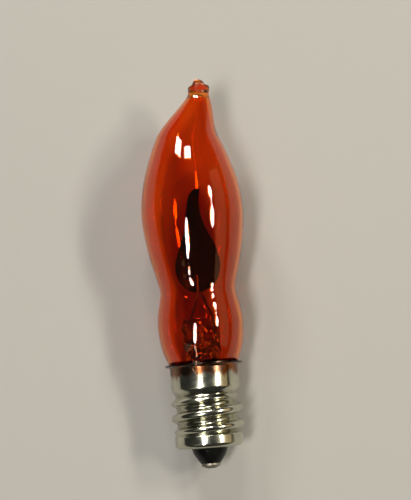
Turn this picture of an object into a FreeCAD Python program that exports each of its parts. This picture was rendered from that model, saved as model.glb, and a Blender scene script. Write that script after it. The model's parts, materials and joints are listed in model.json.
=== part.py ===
import FreeCAD, Part
import Sketcher
import math
import os

from FreeCAD import Placement, Rotation, Vector

# Flicker-flame glow bulb with a candelabra screw base.
# Every piece is drawn standing on the bulb's own axis: Z runs from the contact to the tip,
# height 0 is the rim of the screw shell, X points to the right of the flame and -Y to its front.
# The last section lays the finished bulb on its side, tip towards +Y, front of the flame up.

# Driving dimensions, in millimetres and degrees
SIZES = {
    # glass envelope: outer radius of each ring that the blown shape passes through, and how
    # far it lies above the ring before it
    "glass_wall": 0.6,
    "neck_end_height": -4.5, "neck_end_radius": 4.35,
    "neck_rise": 2.9, "neck_radius": 4.7,
    "throat_rise": 1.1, "throat_radius": 5.0,
    "mouth_rise": 0.65, "mouth_radius": 5.5,
    "lower_side_rise": 2.85, "lower_side_radius": 6.52,
    "lower_bulge_rise": 3.7, "lower_bulge_radius": 7.1,
    "lower_top_rise": 2.6, "lower_top_radius": 6.78,
    "waist_rise": 2.5, "waist_radius": 6.27,
    "body_foot_rise": 2.6, "body_foot_radius": 6.78,
    "body_side_rise": 4.1, "body_side_radius": 7.8,
    "body_bulge_rise": 6.4, "body_bulge_radius": 8.63,
    "body_top_rise": 5.1, "body_top_radius": 8.13,
    "shoulder_rise": 4.5, "shoulder_radius": 6.87,
    "tip_root_rise": 4.0, "tip_root_radius": 5.3,
    "tip_middle_rise": 3.0, "tip_middle_radius": 3.95,
    "tip_upper_rise": 2.3, "tip_upper_radius": 2.75,
    "tip_neck_rise": 1.6, "tip_neck_radius": 1.93,
    "tip_rim_rise": 1.1, "tip_rim_radius": 1.66,
    "tip_end_rise": 0.45, "tip_end_radius": 1.3,
    # the drawn-off tip leans over: how far below its end the bend starts, and how far
    # its end moves right and to the front for each millimetre of that length
    "bend_length": 8.95, "tip_lean_right": 0.2960894, "tip_lean_front": 0.1452514,
    "seal_bead_radius": 1.25, "cavity_end_drop": 1.35,
    # glass stem: flared foot, tube, and the flat press that the wires pass through
    "stem_tube_radius": 2.9, "stem_wall": 0.5, "stem_foot_band": 0.4,
    "stem_flare_height": -2.6, "stem_tube_top": 1.5,
    "press_foot_height": 3.4, "press_top_height": 7.4, "press_width": 6.2,
    "press_thickness": 1.9, "press_edge_round": 0.3,
    # flame plates
    "plate_width": 7.5, "plate_height": 17.5, "plate_foot_height": 11.8,
    "plate_offset": 0.24, "plate_thickness": 0.25, "plate_gap": 1.3,
    # lead wires
    "lead_radius": 0.2, "lead_bend": 0.8, "lead_exit_height": 7.9,
    "front_weld_offset": -0.05, "front_weld_height": 14.6, "front_lead_offset": -1.4,
    "rear_weld_offset": 0.6, "rear_weld_height": 14.6, "rear_lead_offset": 2.1,
    "weld_foot_height": 11.4, "lead_turn_height": -3.9, "rear_lead_end_height": -5.0,
    "rear_turn_height": -2.4, "rear_end_right": 1.0, "rear_end_front": 0.9,
    # thin copper tail that leads over the rim, and its solder
    "tail_radius": 0.1, "tail_bend": 0.18, "tail_clearance": 0.04, "tail_angle": 260.0,
    "tail_start_run": 0.5, "tail_dip": 1.0, "tail_rise": 0.45, "tail_swing": 9.0,
    "tail_swing_height": -0.9, "tail_end_height": -1.85,
    "side_solder_radius": 0.84, "side_solder_inset": 0.2, "side_solder_lift": 0.1,
    # screw shell; what seats in it stands off by the clearance, and the rim and the bottom
    # are thicker than the threaded band by the seam step on each side
    "seat_clearance": 0.02, "seam_step": 0.01,
    "sheet_thickness": 0.2, "rim_radius": 6.35, "rim_curl": 0.45,
    "skirt_radius": 5.6, "shoulder_top": -3.8, "shoulder_bottom": -5.3,
    "thread_pitch": 2.54, "crest_radius": 5.87, "root_radius": 4.95,
    "crest_left_height": -6.07, "thread_start": -4.7, "thread_fade": 1.8,
    "thread_end": -12.0, "lip_radius": 5.55, "lip_top": -10.9, "lip_full": -11.6,
    "shell_bottom": -13.4, "lip_corner": 0.7, "bottom_hole_radius": 4.2,
    # black glass insulator, contact eyelet and solder
    "insulator_top": -12.2, "nose_radius": 2.95, "nose_start": 0.25,
    "nose_waist_radius": 2.3, "nose_waist_height": -15.0, "nose_round": 2.0,
    "nose_end_radius": 1.65, "nose_end_height": -15.95,
    "barrel_radius": 0.9, "barrel_wall": 0.2, "barrel_top": -11.6,
    "eyelet_radius": 1.55, "eyelet_thickness": 0.6, "eyelet_round": 0.3,
    "contact_solder_radius": 1.05, "contact_solder_rise": 0.2,
    "contact_flat_radius": 0.5, "contact_solder_top": -15.0,
    # basing cement
    "cement_top": -1.5, "cement_bottom": -3.7,
    # ballast resistor
    "resistor_top": -7.2, "resistor_length": 3.5, "resistor_core_radius": 0.72,
    "resistor_cap_wall": 0.15, "resistor_cap_length": 0.9,
    "resistor_lead_radius": 0.2, "resistor_lead_rise": 1.7, "lead_end_depth": 0.25,
    "joint_gap": 0.05, "joint_solder_radius": 0.6, "joint_height": -6.1, "joint_overlap": 0.4,
}

doc = FreeCAD.newDocument("flame_bulb")
sheet = doc.addObject("Spreadsheet::Sheet", "Sizes")
for row, (alias, value) in enumerate(SIZES.items(), start=1):
    sheet.set(f"A{row}", alias)
    sheet.set(f"B{row}", str(value))
    sheet.setAlias(f"B{row}", alias)
doc.recompute()
read_sizes = {alias: float(sheet.get(alias)) for alias in SIZES}


def size(alias):
    return read_sizes[alias]


pieces = []


def piece(item, label):
    """Names a finished sub-part and puts it on the list of what is written out."""
    item.Label = label
    pieces.append(item)
    return item


def feature(label, shape):
    item = doc.addObject("Part::Feature", label)
    item.Shape = shape
    return item


# Round pieces: a closed outline of (radius, height) corners, turned about the axis
def turned_body(label, corners, rounded=()):
    """A body turned from an outline. Each corner is two expressions that read the sheet.

    rounded lists (corner number, radius) pairs: the edge that this corner draws is filleted.
    """
    body = doc.addObject("PartDesign::Body", label + "_body")
    sketch = body.newObject("Sketcher::SketchObject", label + "_outline")
    planes = {plane.Role: plane for plane in body.Origin.OriginFeatures}
    sketch.AttachmentSupport = (planes["XZ_Plane"], "")
    sketch.MapMode = "FlatFace"
    places = [[float(sketch.evalExpression(text)) for text in corner] for corner in corners]
    lines = []
    for number, (radius, height) in enumerate(places):
        end_radius, end_height = places[(number + 1) % len(places)]
        start, end = Vector(radius, height, 0), Vector(end_radius, end_height, 0)
        lines.append(sketch.addGeometry(Part.LineSegment(start, end), False))
    for number, line in enumerate(lines):
        following = lines[(number + 1) % len(lines)]
        sketch.addConstraint(Sketcher.Constraint("Coincident", line, 2, following, 1))
    for line, (radius_text, height_text), (radius, height) in zip(lines, corners, places):
        if radius == 0:
            sketch.addConstraint(Sketcher.Constraint("PointOnObject", line, 1, -2))
        else:
            rule = sketch.addConstraint(Sketcher.Constraint("DistanceX", -1, 1, line, 1, radius))
            sketch.setExpression(f"Constraints[{rule}]", radius_text)
        rule = sketch.addConstraint(Sketcher.Constraint("DistanceY", -1, 1, line, 1, height))
        sketch.setExpression(f"Constraints[{rule}]", height_text)
    turn = body.newObject("PartDesign::Revolution", label + "_turn")
    turn.Profile = sketch
    turn.ReferenceAxis = (sketch, ["V_Axis"])
    turn.Angle = 360
    doc.recompute()
    for corner, radius_text in rounded:
        radius, height = places[corner]
        names = [
            f"Edge{number}"
            for number, edge in enumerate(body.Tip.Shape.Edges, start=1)
            if is_ring(edge, radius, height)
        ]
        sharp = body.Tip
        fillet = body.newObject("PartDesign::Fillet", f"{label}_round_{corner}")
        fillet.Base = (sharp, names)
        fillet.setExpression("Radius", radius_text)
        body.Tip = fillet
        doc.recompute()
    return body


MATCH = 1e-4


def is_ring(edge, radius, height):
    """True for a circular edge about the axis at this radius and height."""
    curve = edge.Curve
    if not isinstance(curve, Part.Circle):
        return False
    return abs(curve.Radius - radius) < MATCH and abs(curve.Center.z - height) < MATCH


# Glass envelope
RINGS_ABOVE_NECK_END = [
    "neck", "throat", "mouth", "lower_side", "lower_bulge", "lower_top", "waist",
    "body_foot", "body_side", "body_bulge", "body_top", "shoulder",
    "tip_root", "tip_middle", "tip_upper", "tip_neck", "tip_rim", "tip_end",
]
PROFILE_STEPS = 64
wall = size("glass_wall")
ring_height = {"neck_end": size("neck_end_height")}
height_reached = size("neck_end_height")
for name in RINGS_ABOVE_NECK_END:
    height_reached += size(name + "_rise")
    ring_height[name] = height_reached
profile = Part.BSplineCurve()
profile.interpolate([
    Vector(height, size(name + "_radius"), 0) for name, height in ring_height.items()
])


def centre_at(height):
    """The centre of the envelope at a height.

    It stays on the axis up to the bend. Above it the tip swings right and straightens
    again, and leans more and more to the front.
    """
    length = size("bend_length")
    part = max(0.0, (height - ring_height["tip_end"] + length) / length)
    right = size("tip_lean_right") * length * (3 * part**2 - 2 * part**3)
    front = size("tip_lean_front") * length * part**3
    return Vector(right, -front, height)


def profile_rings(inset):
    """Even samples of the profile as (height, radius), moved square off it by the inset."""
    samples = []
    for step in range(PROFILE_STEPS + 1):
        share = step / PROFILE_STEPS
        parameter = profile.parameterAtDistance(share * profile.length())
        point = profile.value(parameter)
        along = profile.tangent(parameter)[0]
        samples.append((point.x + inset * along.y, point.y - inset * along.x))
    return samples


def ring_loft(rings, tip_point=None):
    """A smooth solid through circles on the centre line, closed by a point if one is given."""
    sections = []
    for height, radius in rings:
        sections.append(Part.Wire(Part.makeCircle(radius, centre_at(height))))
    if tip_point is not None:
        sections.append(Part.Vertex(tip_point))
    return Part.makeLoft(sections, True, False)


envelope_outside = ring_loft(profile_rings(0))
cavity_rings = [
    (height, radius)
    for height, radius in profile_rings(wall)
    if height < ring_height["tip_neck"] - wall
]
neck_inside = size("neck_end_radius") - wall
cavity_rings = [(size("neck_end_height") - wall, neck_inside)] + cavity_rings
cavity_end = centre_at(ring_height["tip_end"] - size("cavity_end_drop"))
envelope_cavity = ring_loft(cavity_rings, cavity_end)
bead_centre = centre_at(ring_height["tip_end"])
seal_bead = Part.makeSphere(size("seal_bead_radius"), bead_centre)
envelope_shape = envelope_outside.cut(envelope_cavity).fuse(seal_bead)
envelope = piece(feature("envelope", envelope_shape), "glass_envelope")

# Lead wires: straight runs joined by tangent arcs


def bent_wire(points, radius, bend):
    """A round wire along straight runs, with an arc of the bend radius at each turn."""
    start = points[0]
    edges = []
    for before, corner, after in zip(points, points[1:], points[2:]):
        inward = (before - corner).normalize()
        outward = (after - corner).normalize()
        half_turn = (math.pi - inward.getAngle(outward)) / 2
        setback = bend * math.tan(half_turn)
        middle = corner + (inward + outward).normalize() * (bend / math.cos(half_turn) - bend)
        arc_start = corner + inward * setback
        arc_end = corner + outward * setback
        edges.append(Part.LineSegment(start, arc_start).toShape())
        edges.append(Part.Arc(arc_start, middle, arc_end).toShape())
        start = arc_end
    edges.append(Part.LineSegment(start, points[-1]).toShape())
    path = Part.Wire(edges)
    profile = Part.Wire(Part.makeCircle(radius, points[0], points[1] - points[0]))
    return path.makePipeShell([profile], True, False)


def around(radius, angle, height):
    """A point from its distance to the axis, its angle about it in degrees, and its height."""
    turn = math.radians(angle)
    return Vector(radius * math.cos(turn), radius * math.sin(turn), height)


plate_face = size("plate_gap") / 2 + size("plate_thickness")
weld_depth = plate_face + size("lead_radius")
joint_reach = size("lead_radius") + size("joint_gap") + size("resistor_lead_radius")
front_lead_points = [
    Vector(size("front_weld_offset"), -weld_depth, size("front_weld_height")),
    Vector(size("front_weld_offset"), -weld_depth, size("weld_foot_height")),
    Vector(size("front_lead_offset"), 0, size("lead_exit_height")),
    Vector(size("front_lead_offset"), 0, size("lead_turn_height")),
    Vector(-joint_reach, 0, size("joint_height") + 2 * size("joint_overlap")),
    Vector(-joint_reach, 0, size("joint_height") - size("joint_overlap")),
]
rear_lead_end = Vector(
    size("rear_end_right"), -size("rear_end_front"), size("rear_lead_end_height")
)
rear_lead_points = [
    Vector(size("rear_weld_offset"), weld_depth, size("rear_weld_height")),
    Vector(size("rear_weld_offset"), weld_depth, size("weld_foot_height")),
    Vector(size("rear_lead_offset"), 0, size("lead_exit_height")),
    Vector(size("rear_lead_offset"), 0, size("rear_turn_height")),
    rear_lead_end,
]
front_lead_shape = bent_wire(front_lead_points, size("lead_radius"), size("lead_bend"))
rear_lead_shape = bent_wire(rear_lead_points, size("lead_radius"), size("lead_bend"))
front_lead = piece(feature("front_lead", front_lead_shape), "front_lead_wire")
rear_lead = piece(feature("rear_lead", rear_lead_shape), "rear_lead_wire")

# Flame plates: one stamped outline, used twice.
# Corners as shares of half the width and of the height, from the tip's left end
# round the belly to the tip's right end.
FLAME_OUTLINE = [
    (0.15, 1.0), (-0.11, 0.957), (-0.3, 0.845), (-0.4, 0.72), (-0.56, 0.54), (-0.83, 0.4),
    (-1.0, 0.25), (-0.84, 0.1), (-0.33, 0.01), (0.19, 0.012), (0.76, 0.1), (1.0, 0.262),
    (0.89, 0.41), (0.57, 0.57), (0.32, 0.725), (0.26, 0.85), (0.34, 1.0),
]


def flame_plate(near_depth):
    """The flame cut from thin sheet. near_depth is the depth of its front face."""
    points = [
        Vector(
            size("plate_offset") + across * size("plate_width") / 2,
            near_depth,
            size("plate_foot_height") + along * size("plate_height"),
        )
        for across, along in FLAME_OUTLINE
    ]
    edge = Part.BSplineCurve()
    edge.interpolate(points)
    tip = Part.LineSegment(points[-1], points[0])
    outline = Part.Wire([edge.toShape(), tip.toShape()])
    return Part.Face(outline).extrude(Vector(0, size("plate_thickness"), 0))


front_plate = piece(feature("front_plate", flame_plate(-plate_face)), "front_flame_plate")
rear_plate = piece(feature("rear_plate", flame_plate(size("plate_gap") / 2)), "rear_flame_plate")

# Glass stem: lofted rings from the flared foot to the flattened press


def stem_ring(label, height_text, wide_text, thick_text):
    """One ring of the stem, an ellipse across the axis, bound to the sheet."""
    ring = doc.addObject("Part::Ellipse", label)
    ring.setExpression("MajorRadius", wide_text)
    ring.setExpression("MinorRadius", thick_text)
    ring.setExpression("Placement.Base.z", height_text)
    return ring


def stem_loft(label, ring_list):
    loft = doc.addObject("Part::Loft", label)
    loft.Sections = [
        stem_ring(f"{label}_ring_{number}", *texts) for number, texts in enumerate(ring_list)
    ]
    loft.Solid = True
    return loft


FOOT = "Sizes.neck_end_height"
FOOT_RADIUS = "Sizes.neck_end_radius - Sizes.glass_wall - Sizes.seat_clearance"
TUBE = "Sizes.stem_tube_radius"
HALF_WIDTH = "Sizes.press_width / 2"
HALF_THICK = "Sizes.press_thickness / 2"
BORE = "Sizes.stem_tube_radius - Sizes.stem_wall"
stem_outside = stem_loft("stem_outside", [
    (FOOT, FOOT_RADIUS, FOOT_RADIUS),
    (f"{FOOT} + Sizes.stem_foot_band", FOOT_RADIUS, FOOT_RADIUS),
    ("Sizes.stem_flare_height", TUBE, TUBE),
    ("Sizes.stem_tube_top", TUBE, TUBE),
    ("Sizes.press_foot_height", HALF_WIDTH, HALF_THICK),
    ("Sizes.press_top_height - Sizes.press_edge_round", HALF_WIDTH, HALF_THICK),
    ("Sizes.press_top_height", f"{HALF_WIDTH} - Sizes.press_edge_round",
     f"{HALF_THICK} - Sizes.press_edge_round"),
])
stem_bore = stem_loft("stem_bore", [
    (f"{FOOT} - Sizes.stem_wall", f"{FOOT_RADIUS} - Sizes.stem_wall",
     f"{FOOT_RADIUS} - Sizes.stem_wall"),
    (f"{FOOT} + Sizes.stem_foot_band", f"{FOOT_RADIUS} - Sizes.stem_wall",
     f"{FOOT_RADIUS} - Sizes.stem_wall"),
    ("Sizes.stem_flare_height", BORE, BORE),
    ("Sizes.stem_tube_top", BORE, BORE),
    ("Sizes.press_foot_height", BORE, "Sizes.stem_wall / 2"),
])
stem_holes = doc.addObject("Part::Compound", "stem_holes")
stem_holes.Links = [
    stem_bore,
    feature("front_lead_seat", front_lead_shape),
    feature("rear_lead_seat", rear_lead_shape),
]
stem = doc.addObject("Part::Cut", "stem")
stem.Base = stem_outside
stem.Tool = stem_holes
piece(stem, "glass_stem")

# Screw shell: drawn from thin sheet, with a rolled right-hand thread


def eased(part):
    """Goes smoothly from 0 to 1 as part does, and stays there."""
    part = min(max(part, 0.0), 1.0)
    return part * part * (3 - 2 * part)


def ridge(distance):
    """Height of the rolled thread over its root, this far along the axis from a crest.

    Crest and root are equal arcs that meet each other on the flank.
    """
    depth = size("crest_radius") - size("root_radius")
    half_pitch = size("thread_pitch") / 2
    arc = (half_pitch**2 + depth**2) / (4 * depth)
    if distance < half_pitch / 2:
        return depth - arc + math.sqrt(arc**2 - distance**2)
    return arc - math.sqrt(arc**2 - (half_pitch - distance) ** 2)


def shell_radius(angle, height):
    """Outer radius of the shell: skirt, shoulder and lip rings with the thread over them."""
    pitch = size("thread_pitch")
    turns = (height - size("crest_left_height")) / pitch - (angle - math.pi) / (2 * math.pi)
    fade = size("thread_fade")
    strength = eased((size("thread_start") - height) / fade)
    strength *= eased((height - size("thread_end")) / fade)
    thread = ridge(pitch * abs(turns - round(turns))) * strength
    skirt_share = eased(
        (height - size("shoulder_bottom")) / (size("shoulder_top") - size("shoulder_bottom"))
    )
    lip_share = eased((size("lip_top") - height) / (size("lip_top") - size("lip_full")))
    root = size("root_radius")
    rings_height = (size("skirt_radius") - root) * skirt_share
    rings_height += (size("lip_radius") - root) * lip_share
    return root + (rings_height**4 + thread**4) ** 0.25


def shell_bore_radius(angle, height):
    """Inner radius of the shell, one sheet thickness inside it, on the flanks too."""
    sheet_thickness = size("sheet_thickness")
    steps = [step / 4 for step in range(-4, 5)]
    return min(
        shell_radius(angle, height + step * sheet_thickness)
        - sheet_thickness * math.sqrt(1 - step**2)
        for step in steps
    )


THREAD_RINGS = 48
RING_POINTS = 36


def threaded_solid(radius_at, top, bottom):
    """A solid lofted through closed curves across the axis, each with its own outline."""
    sections = []
    for ring in range(THREAD_RINGS + 1):
        height = top + (bottom - top) * ring / THREAD_RINGS
        points = []
        for number in range(RING_POINTS):
            angle = 2 * math.pi * number / RING_POINTS
            radius = radius_at(angle, height)
            points.append(Vector(radius * math.cos(angle), radius * math.sin(angle), height))
        curve = Part.BSplineCurve()
        spacing = [number / RING_POINTS for number in range(RING_POINTS + 1)]
        curve.interpolate(Points=points, PeriodicFlag=True, Parameters=spacing)
        sections.append(Part.Wire(curve.toShape()))
    return Part.makeLoft(sections, True, False)


def turned_face(edges):
    axis = Vector(0, 0, 1)
    return Part.Face(Part.Wire(edges)).revolve(Vector(0, 0, 0), axis, 360)


def straight(start, end):
    return Part.LineSegment(Vector(start[0], 0, start[1]), Vector(end[0], 0, end[1])).toShape()


def corner_arc(centre, radius, start_angle, end_angle):
    """An arc in the plane of radius and height, from its angles in degrees."""
    points = []
    for angle in (start_angle, (start_angle + end_angle) / 2, end_angle):
        turn = math.radians(angle)
        points.append(Vector(
            centre[0] + radius * math.cos(turn), 0, centre[1] + radius * math.sin(turn)
        ))
    return Part.Arc(*points).toShape()


sheet_gauge = size("sheet_thickness")
rim_gauge = sheet_gauge + 2 * size("seam_step")
skirt_bore = size("skirt_radius") - sheet_gauge
curl = size("rim_curl")
band_top = -rim_gauge - curl
band_bottom = size("shell_bottom") + size("lip_corner")
thread_band = threaded_solid(shell_radius, band_top, band_bottom)
thread_band = thread_band.cut(threaded_solid(shell_bore_radius, band_top, band_bottom))
rim_outside = size("skirt_radius") + size("seam_step")
curl_centre = (rim_outside + curl, band_top)
flared_rim = turned_face([
    straight((rim_outside - rim_gauge, band_top), (rim_outside, band_top)),
    corner_arc(curl_centre, curl, 180, 90),
    straight((curl_centre[0], -rim_gauge), (size("rim_radius"), -rim_gauge)),
    straight((size("rim_radius"), -rim_gauge), (size("rim_radius"), 0)),
    straight((size("rim_radius"), 0), (curl_centre[0], 0)),
    corner_arc(curl_centre, curl + rim_gauge, 90, 180),
])
bottom_outside = size("lip_radius") + size("seam_step")
corner_centre = (bottom_outside - size("lip_corner"), band_bottom)
flange_top = size("shell_bottom") + rim_gauge
hole_radius = size("bottom_hole_radius")
turned_in_bottom = turned_face([
    straight((bottom_outside - rim_gauge, band_bottom), (bottom_outside, band_bottom)),
    corner_arc(corner_centre, size("lip_corner"), 0, -90),
    straight((corner_centre[0], size("shell_bottom")), (hole_radius, size("shell_bottom"))),
    straight((hole_radius, size("shell_bottom")), (hole_radius, flange_top)),
    straight((hole_radius, flange_top), (corner_centre[0], flange_top)),
    corner_arc(corner_centre, size("lip_corner") - rim_gauge, -90, 0),
])
shell_shape = thread_band.fuse([flared_rim, turned_in_bottom])
shell = piece(feature("shell", shell_shape), "screw_shell")

# Black glass insulator, with its nose through the hole in the shell's bottom
HOLE = "Sizes.bottom_hole_radius"
LIP_BORE = "Sizes.lip_radius - Sizes.sheet_thickness - Sizes.seat_clearance"
CORNER_HEIGHT = "Sizes.shell_bottom + Sizes.lip_corner"
FLANGE_TOP = "Sizes.shell_bottom + Sizes.sheet_thickness + 2 * Sizes.seam_step"
insulator = turned_body("insulator", [
    ("Sizes.barrel_radius", "Sizes.insulator_top"),
    (LIP_BORE, "Sizes.insulator_top"),
    (LIP_BORE, CORNER_HEIGHT),
    ("Sizes.lip_radius - Sizes.lip_corner", FLANGE_TOP),
    (HOLE, FLANGE_TOP),
    (HOLE, "Sizes.shell_bottom"),
    ("Sizes.nose_radius", "Sizes.shell_bottom - Sizes.nose_start"),
    ("Sizes.nose_waist_radius", "Sizes.nose_waist_height"),
    ("Sizes.nose_end_radius", "Sizes.nose_end_height"),
    ("Sizes.barrel_radius", "Sizes.nose_end_height"),
], rounded=[(7, "Sizes.nose_round"), (6, "Sizes.nose_start")])
piece(insulator, "base_insulator")

# Contact eyelet: a barrel through the insulator and a flange under its nose
EYELET_END = "Sizes.nose_end_height - Sizes.eyelet_thickness"
BARREL_BORE = "Sizes.barrel_radius - Sizes.barrel_wall"
contact = turned_body("contact", [
    (BARREL_BORE, "Sizes.barrel_top"),
    ("Sizes.barrel_radius", "Sizes.barrel_top"),
    ("Sizes.barrel_radius", "Sizes.nose_end_height"),
    ("Sizes.eyelet_radius", "Sizes.nose_end_height"),
    ("Sizes.eyelet_radius", EYELET_END),
    (BARREL_BORE, EYELET_END),
], rounded=[(4, "Sizes.eyelet_round")])
piece(contact, "centre_contact")

# Solder that closes the eyelet and holds the resistor's lower lead
SOLDER_END = f"{EYELET_END} - Sizes.contact_solder_rise"
LEAD_END = f"{SOLDER_END} + Sizes.lead_end_depth"
contact_solder = turned_body("contact_solder", [
    ("Sizes.resistor_lead_radius", "Sizes.contact_solder_top"),
    (BARREL_BORE, "Sizes.contact_solder_top"),
    (BARREL_BORE, EYELET_END),
    ("Sizes.contact_solder_radius", EYELET_END),
    ("Sizes.contact_flat_radius", SOLDER_END),
    ("0", SOLDER_END),
    ("0", LEAD_END),
    ("Sizes.resistor_lead_radius", LEAD_END),
])
piece(contact_solder, "contact_solder")

# Ballast resistor: ceramic core, two pressed caps, two leads on the axis
TOP = "Sizes.resistor_top"
BOTTOM = "Sizes.resistor_top - Sizes.resistor_length"
CORE = "Sizes.resistor_core_radius"
CAP = "Sizes.resistor_core_radius + Sizes.resistor_cap_wall"
LEAD = "Sizes.resistor_lead_radius"
core = turned_body("resistor_core", [
    ("0", f"{TOP} - Sizes.resistor_cap_wall"),
    (CORE, f"{TOP} - Sizes.resistor_cap_wall"),
    (CORE, f"{BOTTOM} + Sizes.resistor_cap_wall"),
    ("0", f"{BOTTOM} + Sizes.resistor_cap_wall"),
])
piece(core, "resistor_core")
CAP_ENDS = (("upper", TOP, "-"), ("lower", BOTTOM, "+"))
for name, end, inward in CAP_ENDS:
    cap = turned_body(f"resistor_{name}_cap", [
        ("0", end),
        (CAP, end),
        (CAP, f"{end} {inward} Sizes.resistor_cap_length"),
        (CORE, f"{end} {inward} Sizes.resistor_cap_length"),
        (CORE, f"{end} {inward} Sizes.resistor_cap_wall"),
        ("0", f"{end} {inward} Sizes.resistor_cap_wall"),
    ])
    piece(cap, f"resistor_{name}_cap")
LEAD_ENDS = (
    ("upper", TOP, f"{TOP} + Sizes.resistor_lead_rise"),
    ("lower", BOTTOM, LEAD_END),
)
resistor_leads = {}
for name, start, end in LEAD_ENDS:
    resistor_leads[name] = turned_body(f"resistor_{name}_lead", [
        ("0", start), (LEAD, start), (LEAD, end), ("0", end),
    ])
    piece(resistor_leads[name], f"resistor_{name}_lead")

# Solder joint between the front lead and the resistor's upper lead
joint_ball = doc.addObject("Part::Sphere", "joint_ball")
joint_ball.setExpression("Radius", "Sizes.joint_solder_radius")
joint_ball.Placement = Placement(Vector(0, 0, 0), Rotation(Vector(1, 0, 0), 90))
joint_ball.setExpression(
    "Placement.Base.x", "-(Sizes.lead_radius + Sizes.joint_gap + Sizes.resistor_lead_radius) / 2"
)
joint_ball.setExpression("Placement.Base.z", "Sizes.joint_height")
doc.recompute()
joint_leads = doc.addObject("Part::Compound", "joint_leads")
joint_leads.Links = [
    feature("front_lead_joint", front_lead_shape),
    feature("upper_lead_joint", resistor_leads["upper"].Shape),
]
joint_solder = doc.addObject("Part::Cut", "joint_solder")
joint_solder.Base = joint_ball
joint_solder.Tool = joint_leads
piece(joint_solder, "joint_solder")

# Copper tail: from the rear lead, under the neck, up between glass and shell,
# over the rim and down the outside of the skirt
tail_reach = size("tail_radius") + size("tail_clearance")
tail_angle = size("tail_angle")
swing_angle = tail_angle - size("tail_swing")
lead_direction = (rear_lead_points[-1] - rear_lead_points[-2]).normalize()
neck_outside = size("neck_end_radius") + tail_reach
inside_skirt = skirt_bore - tail_reach
outside_skirt = size("skirt_radius") + tail_reach
past_rim = size("rim_radius") + tail_reach
# the wire cuts the corner of the curled rim as one side of an octagon round the curl
curl_side = (curl + rim_gauge + tail_reach) * math.tan(math.radians(22.5))
tail_points = [
    rear_lead_end,
    rear_lead_end + lead_direction * size("tail_start_run"),
    around(neck_inside, tail_angle, size("neck_end_height") - size("tail_dip")),
    around(neck_outside, tail_angle, size("neck_end_height") - size("tail_rise")),
    around(inside_skirt, tail_angle, size("cement_bottom")),
    around(inside_skirt, tail_angle, band_top + curl_side),
    around(curl_centre[0] - curl_side, tail_angle, tail_reach),
    around(past_rim, tail_angle, tail_reach),
    around(past_rim, tail_angle, -rim_gauge - tail_reach),
    around(outside_skirt, swing_angle, size("tail_swing_height")),
    around(outside_skirt, tail_angle, size("tail_end_height")),
]
tail_shape = bent_wire(tail_points, size("tail_radius"), size("tail_bend"))
tail = piece(feature("tail", tail_shape), "side_tail_wire")

# Solder where the tail crosses the rim
side_ball = doc.addObject("Part::Sphere", "side_ball")
side_ball.setExpression("Radius", "Sizes.side_solder_radius")
side_ball.Placement = Placement(
    around(size("rim_radius") - size("side_solder_inset"), tail_angle, size("side_solder_lift")),
    Rotation(Vector(0, 0, 1), tail_angle + 90) * Rotation(Vector(0, 1, 0), -90),
)
side_seat = doc.addObject("Part::Compound", "side_seat")
side_seat.Links = [
    feature("rim_seat", flared_rim),
    feature("glass_seat", envelope_outside),
    feature("tail_seat", tail_shape),
]
side_solder = doc.addObject("Part::Cut", "side_solder")
side_solder.Base = side_ball
side_solder.Tool = side_seat
piece(side_solder, "side_solder")

# Basing cement: the ring between the glass neck and the skirt, with the tail cast in
SKIRT_BORE = "Sizes.skirt_radius - Sizes.sheet_thickness - Sizes.seat_clearance"
cement_ring = turned_body("cement_ring", [
    (FOOT_RADIUS, "Sizes.cement_top"),
    (SKIRT_BORE, "Sizes.cement_top"),
    (SKIRT_BORE, "Sizes.cement_bottom"),
    (FOOT_RADIUS, "Sizes.cement_bottom"),
])
cement_seat = doc.addObject("Part::Compound", "cement_seat")
cement_seat.Links = [
    feature("neck_seat", envelope_outside),
    feature("tail_channel", tail_shape),
]
cement = doc.addObject("Part::Cut", "cement")
cement.Base = cement_ring
cement.Tool = cement_seat
piece(cement, "basing_cement")
doc.recompute()

# Laying the bulb down: it rests on the body bulge and on the lowest thread crest behind,
# so the axis rises towards the tip by the angle of the line that touches both.
crest_behind = size("crest_left_height") - 1.25 * size("thread_pitch")
rest_tilt = max(
    math.atan2(point.y - size("crest_radius"), point.x - crest_behind)
    for point in profile.discretize(20 * PROFILE_STEPS)
    if point.x > ring_height["waist"]
)
laid = Placement(Vector(0, 0, 0), Rotation(Vector(1, 0, 0), math.degrees(rest_tilt) - 90))
lying = Part.Compound([
    item.Shape.transformGeometry(laid.Matrix) for item in (envelope, shell, contact_solder)
])
extent = lying.optimalBoundingBox(True, False)
laid.Base = Vector(-extent.Center.x, -extent.Center.y, -extent.ZMin)
for item in pieces:
    item.Placement = laid
doc.recompute()

# Nothing is written unless every object and every piece is sound
for item in doc.Objects:
    if "Invalid" in item.State or "Error" in item.State:
        raise RuntimeError(f"{item.Label} failed: {item.State}")
for item in pieces:
    if item.Shape.isNull() or not item.Shape.isValid():
        raise RuntimeError(f"{item.Label} has no sound shape")

os.makedirs("parts", exist_ok=True)
for item in pieces:
    item.Shape.exportStep(f"parts/{item.Label}.step")
    print(f"{item.Label}: {len(item.Shape.Solids)} solid, {item.Shape.Volume:.2f} mm3")
print(f"rest tilt {math.degrees(rest_tilt):.2f} degrees, {len(pieces)} pieces")
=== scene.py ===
# %% [markdown]
# # A flicker-flame bulb
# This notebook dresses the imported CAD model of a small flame-shaped glow bulb. The bulb lies on
# its side on a pale floor, tip away from us, and the camera looks down on the front of the flame.
# Everything is in metres, in the CAD model's own frame.

# %% Load the CAD frame
import json
import math

import bmesh
import bpy
from mathutils import Matrix, Vector, noise
from mathutils.geometry import interpolate_bezier


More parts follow.
